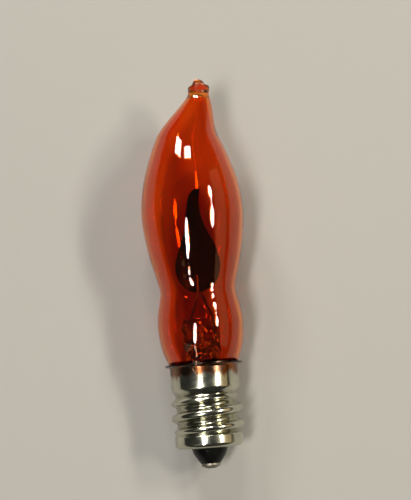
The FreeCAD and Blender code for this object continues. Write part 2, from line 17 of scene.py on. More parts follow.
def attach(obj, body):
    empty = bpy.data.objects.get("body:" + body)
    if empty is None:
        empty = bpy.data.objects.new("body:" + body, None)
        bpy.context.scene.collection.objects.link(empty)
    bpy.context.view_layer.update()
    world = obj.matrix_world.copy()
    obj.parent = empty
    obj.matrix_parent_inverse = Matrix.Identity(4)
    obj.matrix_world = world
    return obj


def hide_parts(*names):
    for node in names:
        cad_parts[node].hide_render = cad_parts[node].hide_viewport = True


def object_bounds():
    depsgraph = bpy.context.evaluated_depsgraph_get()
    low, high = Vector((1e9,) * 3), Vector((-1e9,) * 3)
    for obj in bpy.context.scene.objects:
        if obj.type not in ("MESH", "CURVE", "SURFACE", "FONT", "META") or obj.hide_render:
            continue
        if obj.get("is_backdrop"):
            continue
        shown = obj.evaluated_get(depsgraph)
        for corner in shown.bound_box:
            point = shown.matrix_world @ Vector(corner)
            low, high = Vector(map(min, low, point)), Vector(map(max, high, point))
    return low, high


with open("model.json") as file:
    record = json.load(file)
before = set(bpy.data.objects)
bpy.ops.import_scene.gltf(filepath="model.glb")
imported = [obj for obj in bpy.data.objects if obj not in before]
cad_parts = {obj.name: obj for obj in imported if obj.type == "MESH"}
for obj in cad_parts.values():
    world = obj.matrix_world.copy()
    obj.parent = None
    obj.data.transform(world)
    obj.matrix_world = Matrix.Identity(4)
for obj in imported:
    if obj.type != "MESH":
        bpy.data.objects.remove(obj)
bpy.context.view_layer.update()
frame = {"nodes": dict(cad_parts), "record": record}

# %% [markdown]
# The bulb is easiest to shape standing up, in millimetres, with Z on its own axis and 0 at the
# rim of the screw shell. The front of the flame faces -Y. One matrix then lays each finished
# piece down. It comes from the place and direction of the contact at the end of the base.
# A second matrix only turns, for directions such as those of the lights.

# %% The matrices that lay a standing piece down
MM = 0.001
CONTACT_HEIGHT = -16.75
contact = next(m for m in frame["record"]["mounts"] if m["name"] == "centre_contact")
up_axis = -Vector(contact["axis"]).normalized()
right_axis = Vector((1, 0, 0))
back_axis = up_axis.cross(right_axis)
rim_centre = Vector(contact["pos_m"]) - up_axis * CONTACT_HEIGHT * MM
axes = Matrix((right_axis, back_axis, up_axis)).transposed()
laid = Matrix.Translation(rim_centre) @ axes.to_4x4() @ Matrix.Scale(MM, 4)
lying_turn = laid.to_3x3().normalized()
print("rim centre", [round(v * 1000, 2) for v in rim_centre], "mm")

# %% [markdown]
# Every new piece ends in the same way. Its bmesh is laid down, its faces are turned outwards, and
# edges that are sharper than a given angle stay crisp under smooth shading. The new object rides
# on the bulb's one body, hides the CAD node that it stands for, and wears the finish that it is
# given.


# %% A helper that finishes a piece
def finish_piece(bm, name, material, stands_for, sharp_degrees=180):
    """Lays a bmesh down, makes it an object and ties it to the frame."""
    bmesh.ops.transform(bm, matrix=laid, verts=bm.verts)
    bmesh.ops.recalc_face_normals(bm, faces=bm.faces)
    for face in bm.faces:
        face.smooth = True
    for edge in bm.edges:
        if len(edge.link_faces) == 2:
            edge.smooth = edge.calc_face_angle() < math.radians(sharp_degrees)
    mesh = bpy.data.meshes.new(name)
    bm.to_mesh(mesh)
    bm.free()
    piece = bpy.data.objects.new(name, mesh)
    bpy.context.scene.collection.objects.link(piece)
    mesh.materials.append(material)
    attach(piece, "root")
    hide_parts(*stands_for)
    print(name, len(mesh.polygons), "faces")
    return piece


# %% [markdown]
# Blown glass, spun metal and riveted eyelets are all round, so nearly every piece is turned from
# a line. One helper runs a smooth line through a few measured points, which is how a glass
# blower's or spinner's profile is best described. The other turns a line full circle, ring by
# ring. It makes the faces itself, because Blender's spin and merge order them anew in each run.

# %% Helpers for turned shapes
MERGE_DISTANCE = 1e-4


def smooth_line(points, steps):
    """Points on a smooth line through the given (height, radius) points."""
    knots = [Vector((height, radius, 0)) for height, radius in points]
    line = []
    for i in range(len(knots) - 1):
        here, there = knots[i], knots[i + 1]
        before = knots[max(i - 1, 0)]
        after = knots[min(i + 2, len(knots) - 1)]
        reach = (there - here).length / 3
        leave = here + (there - before).normalized() * reach
        arrive = there - (after - here).normalized() * reach
        line += interpolate_bezier(here, leave, arrive, there, steps + 1)[:-1]
    line.append(knots[-1])
    return [(point.x, point.y) for point in line]


def turned(profile, steps, closed=False):
    """A bmesh turned full circle from (height, radius) points."""
    bm = bmesh.new()
    turns = [math.tau * step / steps for step in range(steps)]
    rings = []
    for height, radius in profile:
        if radius < MERGE_DISTANCE:
            ring = [bm.verts.new((0, 0, height))] * steps
        else:
            ring = [bm.verts.new((radius * math.cos(turn), radius * math.sin(turn), height))
                    for turn in turns]
        rings.append(ring)
    if closed:
        rings.append(rings[0])
    for ring, following in zip(rings, rings[1:]):
        for i in range(steps):
            corners = (ring[i - 1], ring[i], following[i], following[i - 1])
            bm.faces.new(tuple(dict.fromkeys(corners)))
    return bm


sample = smooth_line([(0, 1), (1, 2), (2, 1)], steps=4)
print("three points, joined in 4 steps each, give", len(sample), "points")

# %% [markdown]
# ## Materials
# Finishes are built from the same few nodes, so these get small helpers: one links or sets a
# socket, one stretches a range to 0 to 1, one mixes colours and one computes. A Mix node has
# its colour sockets behind those of its other types, so they are reached by number.

# %% Helpers for nodes
COLOUR_A, COLOUR_B, COLOUR_OUT = 6, 7, 2


def feed(tree, value, socket):
    """Links an output to a socket, or sets a plain value on it."""
    if isinstance(value, bpy.types.NodeSocket):
        tree.links.new(value, socket)
    else:
        socket.default_value = value


def remapped(tree, value, low, high):
    """A Map Range node that takes low to 0 and high to 1."""
    node = tree.nodes.new("ShaderNodeMapRange")
    feed(tree, value, node.inputs["Value"])
    feed(tree, low, node.inputs["From Min"])
    feed(tree, high, node.inputs["From Max"])
    return node


def mixed(tree, factor, first, second, blend_type="MIX"):
    """The colour that a Mix node gives out."""
    node = tree.nodes.new("ShaderNodeMix")
    node.data_type = "RGBA"
    node.blend_type = blend_type
    feed(tree, factor, node.inputs["Factor"])
    feed(tree, first, node.inputs[COLOUR_A])
    feed(tree, second, node.inputs[COLOUR_B])
    return node.outputs[COLOUR_OUT]


def computed(tree, operation, *values):
    """The value that a Math node gives out."""
    node = tree.nodes.new("ShaderNodeMath")
    node.operation = operation
    for value, socket in zip(values, node.inputs):
        feed(tree, value, socket)
    return node.outputs["Value"]


# %% [markdown]
# A node group is a small tree of its own, built once and placed in many materials. Its sockets
# are made through its interface. Each group here starts with a noise on Object coordinates,
# because those stay with the piece when it is exported.


# %% Helpers for node groups
def new_group(name, inputs, output):
    """An empty group with named sockets, and its two end nodes."""
    group = bpy.data.node_groups.new(name, "ShaderNodeTree")
    for label, kind, default in inputs:
        socket = group.interface.new_socket(label, in_out="INPUT", socket_type=kind)
        socket.default_value = default
    group.interface.new_socket(output[0], in_out="OUTPUT", socket_type=output[1])
    start = group.nodes.new("NodeGroupInput")
    end = group.nodes.new("NodeGroupOutput")
    return group, start, end


def noise_in(group, start, detail):
    """A noise on Object coordinates, its scale and stretch taken from the group's inputs."""
    place = group.nodes.new("ShaderNodeTexCoord")
    stretch = group.nodes.new("ShaderNodeMapping")
    grain = group.nodes.new("ShaderNodeTexNoise")
    grain.inputs["Detail"].default_value = detail
    group.links.new(place.outputs["Object"], stretch.inputs["Vector"])
    group.links.new(start.outputs["Stretch"], stretch.inputs["Scale"])
    group.links.new(stretch.outputs["Vector"], grain.inputs["Vector"])
    group.links.new(start.outputs["Scale"], grain.inputs["Scale"])
    return grain.outputs["Fac"]


# %% [markdown]
# Three node groups hold the effects that many finishes share: a mottle that varies gloss, a
# drift between two colours, and a relief for the Bump node. A group only gives out values and
# colours, so each finish keeps its own shader and its own amounts.

# %% Node groups shared by the finishes
MOTTLE_SPREAD, DRIFT_SPREAD = (0.32, 0.68), (0.35, 0.65)
PATTERN = [("Scale", "NodeSocketFloat", 500.0), ("Stretch", "NodeSocketVector", (1.0, 1.0, 1.0))]
RANGE = [("Low", "NodeSocketFloat", 0.1), ("High", "NodeSocketFloat", 0.3)]
TONES = [("First", "NodeSocketColor", (1, 1, 1, 1)), ("Second", "NodeSocketColor", (0, 0, 0, 1))]

mottle, start, end = new_group("mottle", PATTERN + RANGE, ("Value", "NodeSocketFloat"))
spread = remapped(mottle, noise_in(mottle, start, detail=4.0), *MOTTLE_SPREAD)
feed(mottle, start.outputs["Low"], spread.inputs["To Min"])
feed(mottle, start.outputs["High"], spread.inputs["To Max"])
feed(mottle, spread.outputs["Result"], end.inputs["Value"])

drift, start, end = new_group("drift", PATTERN + TONES, ("Color", "NodeSocketColor"))
share = remapped(drift, noise_in(drift, start, detail=3.0), *DRIFT_SPREAD).outputs["Result"]
tint = mixed(drift, share, start.outputs["First"], start.outputs["Second"])
feed(drift, tint, end.inputs["Color"])

relief, start, end = new_group("relief", PATTERN, ("Height", "NodeSocketFloat"))
feed(relief, noise_in(relief, start, detail=2.0), end.inputs["Height"])
print("node groups:", [group.name for group in (mottle, drift, relief)])

# %% [markdown]
# Every finish starts from the same Principled shader. Two colours that drift into each other, a
# range of roughness and a fine relief are what sets a real surface apart from a flat colour.
# What is the same all over, such as how metallic it is, is set on the shader's own sockets.

# %% A helper that builds a finish from the groups
GLOSS_FINENESS = 1.7


def add_group(tree, group, **values):
    """A group placed in a material, with its own values."""
    node = tree.nodes.new("ShaderNodeGroup")
    node.node_tree = group
    for label, value in values.items():
        node.inputs[label].default_value = value
    return node


def finish(name, colours, gloss, scale, bump, bump_scale, stretch=(1, 1, 1), depth=1e-4,
           **sockets):
    """A Principled finish: two colours that drift, a range of roughness, and a fine relief."""
    material = bpy.data.materials.new(name)
    material.use_nodes = True
    tree = material.node_tree
    shader = tree.nodes["Principled BSDF"]
    for label, value in sockets.items():
        shader.inputs[label.replace("_", " ")].default_value = value
    first, second = [tuple(colour) + (1.0,) for colour in colours]
    tint = add_group(tree, drift, Scale=scale, Stretch=stretch, First=first, Second=second)
    tree.links.new(tint.outputs["Color"], shader.inputs["Base Color"])
    rough = add_group(
        tree, mottle, Scale=scale * GLOSS_FINENESS, Stretch=stretch, Low=gloss[0], High=gloss[1],
    )
    tree.links.new(rough.outputs["Value"], shader.inputs["Roughness"])
    height = add_group(tree, relief, Scale=bump_scale, Stretch=stretch)
    bumps = tree.nodes.new("ShaderNodeBump")
    bumps.inputs["Strength"].default_value = bump
    bumps.inputs["Distance"].default_value = depth
    tree.links.new(height.outputs["Height"], bumps.inputs["Height"])
    tree.links.new(bumps.outputs["Normal"], shader.inputs["Normal"])
    print("finish", name, "with roughness", gloss[0], "to", gloss[1])
    return material


# %% [markdown]
# ## Lacquered glass
# The envelope is clear glass dipped in transparent orange-red lacquer. Light that comes from the
# floor passes two walls, so each wall only has to hold half of the colour. The lacquer ran while
# it dried, which leaves faint lengthwise streaks in colour and a little waviness. The stem is
# plain glass, greyed by the heat of the press, and the insulator is glass that is nearly black.

# %% Glass finishes
lacquered_glass = finish(
    "lacquered_glass", [(1.0, 0.31, 0.008), (0.97, 0.205, 0.005)], (0.0, 0.012), 160, 0.5, 210,
    stretch=(1, 0.3, 1), depth=1.5e-4, Transmission_Weight=1.0, IOR=1.5,
)
stem_glass = finish(
    "stem_glass", [(0.85, 0.88, 0.82), (0.45, 0.48, 0.42)], (0.0, 0.04), 500, 0.9, 900,
    depth=2e-4, Transmission_Weight=1.0, IOR=1.52,
)
black_glass = finish(
    "black_glass", [(0.003, 0.003, 0.003), (0.008, 0.008, 0.007)], (0.16, 0.32), 500, 0.1, 900,
    IOR=1.5, Specular_IOR_Level=0.14,
)

# %% [markdown]
# Where sight runs along the wall it meets more lacquer, so the glass gets deeper and redder
# towards its outline. The shader's colour is the same from every side, so a Layer Weight node
# tells how much the surface is turned away, and the lacquer is multiplied by a deep red there.
# That node stays in the material, outside the groups.

# %% Lacquer that deepens towards the outline
DEEP_RED = (0.78, 0.2, 0.12, 1.0)
DEEPER_FROM, DEEPEST_AT = 0.3, 0.95
tree = lacquered_glass.node_tree
shader = tree.nodes["Principled BSDF"]
lacquer_colour = shader.inputs["Base Color"].links[0].from_socket
facing = tree.nodes.new("ShaderNodeLayerWeight")
facing.inputs["Blend"].default_value = 0.5
away = remapped(tree, facing.outputs["Facing"], DEEPER_FROM, DEEPEST_AT).outputs["Result"]
deepened = mixed(tree, away, lacquer_colour, DEEP_RED, "MULTIPLY")
tree.links.new(deepened, shader.inputs["Base Color"])
print("lacquered_glass has", len(tree.nodes), "nodes")

# %% [markdown]
# ## Metals and cement
# The shell is drawn brass with bright nickel plate, which reads as a warm, slightly greenish
# silver. The plates are oxidised almost black. Wires, solder and brass keep small differences in
# colour and gloss, because each is worked another way.

# %% Metal, ceramic and cement finishes
plate_oxide = finish(
    "plate_oxide", [(0.0015, 0.0012, 0.001), (0.005, 0.0035, 0.0025)], (0.1, 0.24), 400, 0.12,
    1500, stretch=(1, 0.3, 1), Specular_IOR_Level=0.5,
)
lead_metal = finish(
    "lead_metal", [(0.14, 0.09, 0.08), (0.07, 0.05, 0.045)], (0.28, 0.45), 900, 0.2, 3000,
    Metallic=1.0,
)
copper = finish(
    "copper", [(0.5, 0.26, 0.15), (0.32, 0.15, 0.08)], (0.2, 0.35), 900, 0.2, 3000, Metallic=1.0,
)
solder_metal = finish(
    "solder_metal", [(0.15, 0.145, 0.125), (0.07, 0.065, 0.055)], (0.25, 0.5), 900, 0.5, 1600,
    Metallic=1.0,
)
burnt_solder = finish(
    "burnt_solder", [(0.07, 0.06, 0.05), (0.03, 0.025, 0.02)], (0.2, 0.45), 900, 0.6, 1600,
    Metallic=1.0,
)
brass = finish(
    "brass", [(0.36, 0.33, 0.27), (0.24, 0.21, 0.17)], (0.42, 0.6), 700, 0.2, 2500, Metallic=1.0,
)
tinned_steel = finish(
    "tinned_steel", [(0.6, 0.59, 0.56), (0.45, 0.44, 0.42)], (0.2, 0.4), 900, 0.2, 2500,
    Metallic=1.0,
)
ceramic = finish(
    "ceramic", [(0.6, 0.45, 0.3), (0.5, 0.36, 0.23)], (0.45, 0.65), 1500, 0.4, 4000,
)
cement = finish(
    "cement", [(0.5, 0.4, 0.28), (0.36, 0.28, 0.19)], (0.7, 0.95), 1200, 0.9, 3500,
)

# %% [markdown]
# The nickel of the shell carries three layers: painted shade low in the thread valleys, a stain of
# lacquer that is partly a painted reflection of the red glass, and painted shade on the edge of
# the rim. Each sits at a height along the bulb's axis or at a distance from it. The piece lies
# down, so a Mapping node first stands its coordinates up again, which gives both measures on every
# point of the sheet.

# %% Nickel plate, with its height and distance from the axis
nickel = finish(
    "nickel", [(0.57, 0.56, 0.46), (0.46, 0.45, 0.36)], (0.12, 0.22), 350, 0.03, 2200,
    Metallic=1.0,
)
tree = nickel.node_tree
shader = tree.nodes["Principled BSDF"]
plate_colour = shader.inputs["Base Color"].links[0].from_socket
plate_gloss = shader.inputs["Roughness"].links[0].from_socket
place = tree.nodes.new("ShaderNodeTexCoord")
upright = tree.nodes.new("ShaderNodeMapping")
upright.vector_type = "POINT"
stand_up = lying_turn.transposed().to_4x4()
upright.inputs["Rotation"].default_value = stand_up.to_euler()
upright.inputs["Location"].default_value = -(stand_up @ rim_centre)
tree.links.new(place.outputs["Object"], upright.inputs["Vector"])
split = tree.nodes.new("ShaderNodeSeparateXYZ")
tree.links.new(upright.outputs["Vector"], split.inputs["Vector"])
height = split.outputs["Z"]
flat = tree.nodes.new("ShaderNodeCombineXYZ")
tree.links.new(split.outputs["X"], flat.inputs["X"])
tree.links.new(split.outputs["Y"], flat.inputs["Y"])
distance = tree.nodes.new("ShaderNodeVectorMath")
distance.operation = "LENGTH"
tree.links.new(flat.outputs["Vector"], distance.inputs[0])
print("nickel plate stands up by", [round(math.degrees(a), 1) for a in stand_up.to_euler()])

# %% [markdown]
# The thread is darker low in its valleys: painted shade that multiplies the plate's colour. It
# could be painted on by hand, but the distance from the axis finds the valleys by itself, and a
# mottle breaks the shade up.

# %% Painted shade low in the thread
# Painted shade: below this distance from the axis the plate's colour is multiplied by a darker
# tone, which darkens the thread valleys.
VALLEY_SHADE_FROM, VALLEY_SHADE_FULL = 5.4 * MM, 5.0 * MM
VALLEY_SHADE = (0.42, 0.4, 0.3, 1.0)
low = remapped(tree, distance.outputs["Value"], VALLEY_SHADE_FROM, VALLEY_SHADE_FULL).outputs["Result"]
patchy = add_group(tree, mottle, Scale=1100.0, Stretch=(1, 1, 1), Low=0.25, High=0.9)
valley_shade_mask = computed(tree, "MULTIPLY", low, patchy.outputs["Value"])
valley_shaded_colour = mixed(tree, valley_shade_mask, plate_colour, VALLEY_SHADE, "MULTIPLY")
print("valley_shade lies under", round(VALLEY_SHADE_FROM * 1000, 2), "mm from the axis")

# %% [markdown]
# The dip of the glass ran over the rim, so the top of the skirt carries an orange stain with a
# ragged lower edge. The same colour also stands in for the red glass mirrored in the top of the
# skirt, so it is partly a painted reflection. Its mask is the height, disturbed by a mottle and
# thinned in places by another. A drift gives it brown and orange tones. It is a little duller than
# the bright plate under it.

# %% The ragged stain and painted reflection of the red glass
STAIN_AND_REFLECTION_ENDS, STAIN_AND_REFLECTION_FULL = -2.4 * MM, -1.4 * MM
# The mask of the stain and of the painted reflection of the red glass, by height along the axis.
RAGGED_BY = 0.6 * MM
DULLER_BY = 0.08
ragged = add_group(tree, mottle, Scale=700.0, Stretch=(1, 0.45, 1), Low=-RAGGED_BY, High=RAGGED_BY)
ragged_height = computed(tree, "ADD", height, ragged.outputs["Value"])
fade = remapped(tree, ragged_height, STAIN_AND_REFLECTION_ENDS, STAIN_AND_REFLECTION_FULL).outputs["Result"]
thin = add_group(tree, mottle, Scale=700.0, Stretch=(1, 0.4, 1), Low=0.82, High=1.0)
stain_and_reflection_mask = computed(tree, "MULTIPLY", fade, thin.outputs["Value"])
stain_and_reflection_tones = add_group(
    tree, drift, Scale=420.0, Stretch=(1, 0.5, 1), First=(0.5, 0.13, 0.02, 1.0),
    Second=(0.09, 0.022, 0.008, 1.0),
)
# Stain and painted reflection of the red glass: the drift's tones multiply the plate's colour
# under the mask.
stain_and_reflection_colour = mixed(tree, stain_and_reflection_mask, valley_shaded_colour, stain_and_reflection_tones.outputs["Color"], "MULTIPLY")
duller = computed(tree, "MULTIPLY_ADD", stain_and_reflection_mask, DULLER_BY, plate_gloss)
tree.links.new(duller, shader.inputs["Roughness"])
print("stain_and_reflection fades from", round(STAIN_AND_REFLECTION_FULL * 1000, 2), "to", round(STAIN_AND_REFLECTION_ENDS * 1000, 2), "mm")

# %% [markdown]
# The edge of the rim is a dark line of painted shade, where the flange is seen edge-on. It covers
# everything below it, so its colour replaces the others.

# %% Painted shade on the edge of the rim
# Painted shade: a dark colour that replaces the others at the edge of the rim.
RIM_SHADE_FROM, RIM_SHADE_FULL = -0.34 * MM, -0.2 * MM
RIM_SHADE = (0.035, 0.02, 0.014, 1.0)
rim_shade = remapped(tree, height, RIM_SHADE_FROM, RIM_SHADE_FULL).outputs["Result"]
tree.links.new(mixed(tree, rim_shade, stain_and_reflection_colour, RIM_SHADE), shader.inputs["Base Color"])
print("nickel has", len(tree.nodes), "nodes")

# %% [markdown]
# ## The blown envelope
# The real envelope is blown in a mould and drawn off at the top, where the tube is sealed with a
# bead and leans to one side. It could be sculpted from a ball, but a turned line keeps it as
# round as the mould does. The line starts at the end of the neck and ends in the lip of the
# sealed tube. Its points are (height, radius) in millimetres.

# %% The outer line of the glass
OUTSIDE = [
    (-4.5, 4.35), (-1.6, 4.7), (-0.5, 5.0), (0.15, 5.66), (1.05, 6.12), (3.1, 6.75), (6.2, 7.12),
    (8.5, 6.97), (10.5, 6.58), (12.2, 6.32), (14.4, 6.78), (18.5, 7.8), (24.9, 8.63),
    (30.0, 8.13), (34.5, 6.87), (38.5, 5.3), (41.5, 3.95), (43.8, 2.75), (45.15, 2.02),
    (45.8, 1.81), (46.3, 1.84),
]
LIP = [
    (46.64, 1.86), (46.84, 1.79), (46.88, 1.67), (46.72, 1.53), (46.4, 1.39), (46.1, 1.2),
    (45.98, 0.98),
]
outside = smooth_line(OUTSIDE, steps=6)
tube_end = smooth_line([OUTSIDE[-1]] + LIP, steps=3)
print("widest radius of the glass", round(max(radius for height, radius in outside), 2), "mm")

# %% [markdown]
# Blown glass has a wall of nearly even thickness. A solidify would fold over itself in the narrow
# tip, so the inner line is found from the outer one: each point moves in by the wall, at right
# angles to the line, until the tip is too narrow for it. The bead is an arc of a circle.

# %% The cavity and the bead
WALL = 0.6
CAVITY_NARROWS, CAVITY_END = 45.0, 45.6
CAVITY_END_RADIUS, CAVITY_END_LENGTH = 0.35, 0.2
BEAD_HEIGHT, BEAD_RADIUS = 46.89, 1.16
BEAD_DEGREES = range(-54, 91, 9)
inside = []
for (z0, r0), (z1, r1), (z2, r2) in zip(outside, outside[1:], outside[2:]):
    slope = Vector((z2 - z0, r2 - r0)).normalized()
    point = (z1 + WALL * slope.y, r1 - WALL * slope.x)
    if point[0] < CAVITY_NARROWS and point[1] > CAVITY_END_RADIUS:
        inside.append(point)
inside.insert(0, (OUTSIDE[0][0], OUTSIDE[0][1] - WALL))
inside += [(CAVITY_END - CAVITY_END_LENGTH, CAVITY_END_RADIUS), (CAVITY_END, 0.0)]
bead = []
for degrees in BEAD_DEGREES:
    angle = math.radians(degrees)
    bead.append((BEAD_HEIGHT + BEAD_RADIUS * math.sin(angle), BEAD_RADIUS * math.cos(angle)))
print("inner line of", len(inside), "points, bead of", len(bead))

# %% [markdown]
# Now one line runs from the bead down the outside, round the end of the neck and back up the
# inside, and is turned full circle. Then the rings above the shoulder slide sideways, which bends
# the tip as the burner did and keeps the wall whole.

# %% Envelope
BEND_LENGTH = 8.95
TIP_HEIGHT = 46.95
LEAN_RIGHT, LEAN_FRONT = 2.65, 1.3
BEND_PAST_TIP = 1.1


def tip_shift(height):
    """How far the drawn-off tip has swung to the right and to the front at a height."""
    part = max(0.0, (height - TIP_HEIGHT + BEND_LENGTH) / BEND_LENGTH)
    part = min(part, BEND_PAST_TIP)
    return Vector((LEAN_RIGHT * (3 * part**2 - 2 * part**3), -LEAN_FRONT * part**3, 0))


bm = turned(bead[::-1] + tube_end[::-1] + outside[-2::-1] + inside, steps=112)
for vert in bm.verts:
    vert.co += tip_shift(vert.co.z)
finish_piece(bm, "blown_envelope", lacquered_glass, ["glass_envelope"])

# %% [markdown]
# ## The screw shell
# The shell is one thin sheet: a flared rim, a plain skirt, a rolled thread and a lip that turns
# in under the insulator. The real thread is rolled into a plain tube, so here too the sheet is
# turned plain, with many rows, and a function of angle and height then pushes the rows out. The
# thread is a chain of arcs that swell and hollow in turn, and it fades in and out at its ends.

# %% The rolled thread
PITCH, CREST, ROOT = 2.54, 5.87, 4.95
CREST_LEFT = -6.07
SKIRT, BOTTOM_RING = 5.6, 5.55
THREAD_TOP, THREAD_BOTTOM, THREAD_FADE = -4.7, -12.0, 1.8
SKIRT_BOTTOM, SKIRT_FADE = -5.3, 1.5
RING_TOP, RING_FADE = -10.9, 0.7


def eased(part):
    """0 to 1 with a soft start and end."""
    part = min(max(part, 0.0), 1.0)
    return part * part * (3 - 2 * part)


def shell_radius(angle, height):
    """Outside of the threaded part: skirt and lip rings, with the rolled thread over them."""
    turns = (height - CREST_LEFT) / PITCH - (angle - math.pi) / math.tau
    distance = PITCH * abs(turns - round(turns))
    depth = CREST - ROOT
    arc = ((PITCH / 2) ** 2 + depth**2) / (4 * depth)
    if distance < PITCH / 4:
        thread = depth - arc + math.sqrt(arc**2 - distance**2)
    else:
        thread = arc - math.sqrt(arc**2 - (PITCH / 2 - distance) ** 2)
    thread *= eased((THREAD_TOP - height) / THREAD_FADE)
    thread *= eased((height - THREAD_BOTTOM) / THREAD_FADE)
    rings = (SKIRT - ROOT) * eased((height - SKIRT_BOTTOM) / SKIRT_FADE)
    rings += (BOTTOM_RING - ROOT) * eased((RING_TOP - height) / RING_FADE)
    return ROOT + (rings**4 + thread**4) ** 0.25


print("radius on the left crest", round(shell_radius(math.pi, CREST_LEFT), 2), "mm")

# %% [markdown]
# The line of the outside is turned, its middle band takes the thread, and a solidify gives the
# sheet its thickness inwards. The normals are made right before that, and checked on a face of
# the skirt, because an open sheet doesn't say by itself which side is its outside.

# %% Screw shell
BAND_TOP, BAND_BOTTOM, BAND_ROWS = -0.66, -12.7, 190
SKIRT_MIDDLE = -2.5
SHEET = 0.2
RIM = [
    (-0.2, 6.35), (-0.2, 6.2), (-0.2, 6.06), (-0.22, 5.92), (-0.31, 5.76), (-0.45, 5.65),
    (BAND_TOP, SKIRT),
]
BOTTOM_LIP = [
    (-12.95, 5.5), (-13.2, 5.34), (-13.34, 5.12), (-13.4, 4.85), (-13.4, 4.5), (-13.4, 4.2),
]
row_step = (BAND_BOTTOM - BAND_TOP) / BAND_ROWS
band = [(BAND_TOP + row_step * row, SKIRT) for row in range(1, BAND_ROWS + 1)]
bm = turned(RIM + band + BOTTOM_LIP, steps=208)
for vert in bm.verts:
    if BAND_BOTTOM + row_step / 2 < vert.co.z < BAND_TOP + row_step / 2:
        angle = math.atan2(vert.co.y, vert.co.x) % math.tau
        radius = shell_radius(angle, vert.co.z)
        vert.co.x, vert.co.y = radius * math.cos(angle), radius * math.sin(angle)
bmesh.ops.recalc_face_normals(bm, faces=bm.faces)
skirt_face = min(bm.faces, key=lambda face: abs(face.calc_center_median().z - SKIRT_MIDDLE))
centre = skirt_face.calc_center_median()
if skirt_face.normal.dot(Vector((centre.x, centre.y, 0))) < 0:
    bmesh.ops.reverse_faces(bm, faces=bm.faces)
bmesh.ops.solidify(bm, geom=bm.faces[:], thickness=SHEET)
shell = finish_piece(bm, "nickel_shell", nickel, ["screw_shell"], sharp_degrees=50)
print("shell box", [round(v * 1000, 2) for v in shell.dimensions], "mm")

# %% [markdown]
# ## Base insulator and contact
# A cone of black glass closes the shell. The real one is cast into the shell while hot, so its
# upper half follows the inside of the lip, and its nose is one smooth line. A closed line that
# is turned gives the cone with its bore in one piece.

# %% Insulator
INSULATOR_BORE = 0.9
NOSE = [
    (-13.4, 3.15), (-13.62, 2.93), (-14.1, 2.78), (-14.6, 2.56), (-15.05, 2.28), (-15.5, 1.96),
    (-15.95, 1.62),
]
SEAT = [(-12.2, 5.32), (-12.7, 5.32), (-13.17, 4.84), (-13.17, 4.2), (-13.39, 4.19)]
insulator_line = [(SEAT[0][0], INSULATOR_BORE)] + SEAT + smooth_line(NOSE, steps=4)
insulator_line.append((NOSE[-1][0], INSULATOR_BORE))
bm = turned(insulator_line, steps=96, closed=True)
finish_piece(
    bm, "black_insulator", black_glass, ["base_insulator"], sharp_degrees=40,
)

# %% [markdown]
# A brass eyelet is riveted through the cone: a tube with its lower end rolled out over the
# glass. It is turned in the same way, from a closed line.

# %% Eyelet
EYELET_BORE, EYELET_OUTSIDE = 0.7, 0.89
EYELET_RIM = [(-15.96, 1.55), (-16.25, 1.54), (-16.45, 1.42), (-16.55, 1.2)]
barrel = [(-11.6, EYELET_BORE), (-11.6, EYELET_OUTSIDE), (EYELET_RIM[0][0], EYELET_OUTSIDE)]
eyelet_line = barrel + smooth_line(EYELET_RIM, steps=4) + [(EYELET_RIM[-1][0], EYELET_BORE)]
bm = turned(eyelet_line, steps=64, closed=True)
finish_piece(bm, "eyelet", brass, ["centre_contact"], sharp_degrees=40)

# %% [markdown]
# The solder that fills the eyelet ends in a low button, which is the bulb's contact. Its line
# starts and ends on the axis, so the piece closes at both poles.

# %% Solder button
PLUG_RADIUS = 0.69
BUTTON = [(-16.55, 1.05), (-16.66, 0.93), (-16.73, 0.72), (CONTACT_HEIGHT, 0.5)]
plug = [(-15.0, 0.0), (-15.0, PLUG_RADIUS), (BUTTON[0][0], PLUG_RADIUS)]
bm = turned(plug + smooth_line(BUTTON, steps=3) + [(CONTACT_HEIGHT, 0.0)], steps=48)
finish_piece(bm, "solder_button", solder_metal, ["contact_solder"], sharp_degrees=60)

# %% [markdown]
# ## Side solder
# A blob of solder ties the tail wire to the rim. Solder sets in a lump that no turned line
# gives, so it starts as a ball, gets uneven by a little noise, and is pushed clear of the glass
# that it leans on. The glass widens slowly above its knee and narrows quickly below it.

# %% Side solder blob
BLOB_DEGREES, BLOB_REACH, BLOB_HEIGHT, BLOB_RADIUS = 260, 6.05, -0.1, 0.52
BLOB_UNEVEN, BLOB_GRAIN = 0.4, 2.4
BLOB_WIDE, BLOB_FLAT = 1.35, 0.85
KNEE_HEIGHT, KNEE_RADIUS = 0.15, 5.66
WIDENS_ABOVE, NARROWS_BELOW = 0.52, 0.9
BLOB_GAP = 0.06
blob_angle = math.radians(BLOB_DEGREES)
blob_centre = Vector(
    (BLOB_REACH * math.cos(blob_angle), BLOB_REACH * math.sin(blob_angle), BLOB_HEIGHT)
)
bm = bmesh.new()
bmesh.ops.create_icosphere(bm, subdivisions=4, radius=BLOB_RADIUS)
for vert in bm.verts:
    vert.co *= 1 + BLOB_UNEVEN * noise.noise(vert.co * BLOB_GRAIN)
    vert.co.x *= BLOB_WIDE
    vert.co.z *= BLOB_FLAT
    vert.co += blob_centre
    slope = WIDENS_ABOVE if vert.co.z > KNEE_HEIGHT else NARROWS_BELOW
    glass = KNEE_RADIUS + (vert.co.z - KNEE_HEIGHT) * slope + BLOB_GAP
    reach = math.hypot(vert.co.x, vert.co.y)
    if reach < glass:
        vert.co.x *= glass / reach
        vert.co.y *= glass / reach
finish_piece(bm, "rim_solder", burnt_solder, ["side_solder"])

# %% [markdown]
# ## Glass stem
# The stem is a tube flared at its foot and pinched flat at the top around the two wires. The
# real one is a tube too, heated and pressed between two jaws. So a turned tube is squeezed
# towards the press, then crumpled slightly, since hot glass that is pinched never comes out
# flat. The noise behind that takes its offsets from a seed, which would otherwise be the second
# in which Blender starts. With a fixed seed each run gives the same stem.

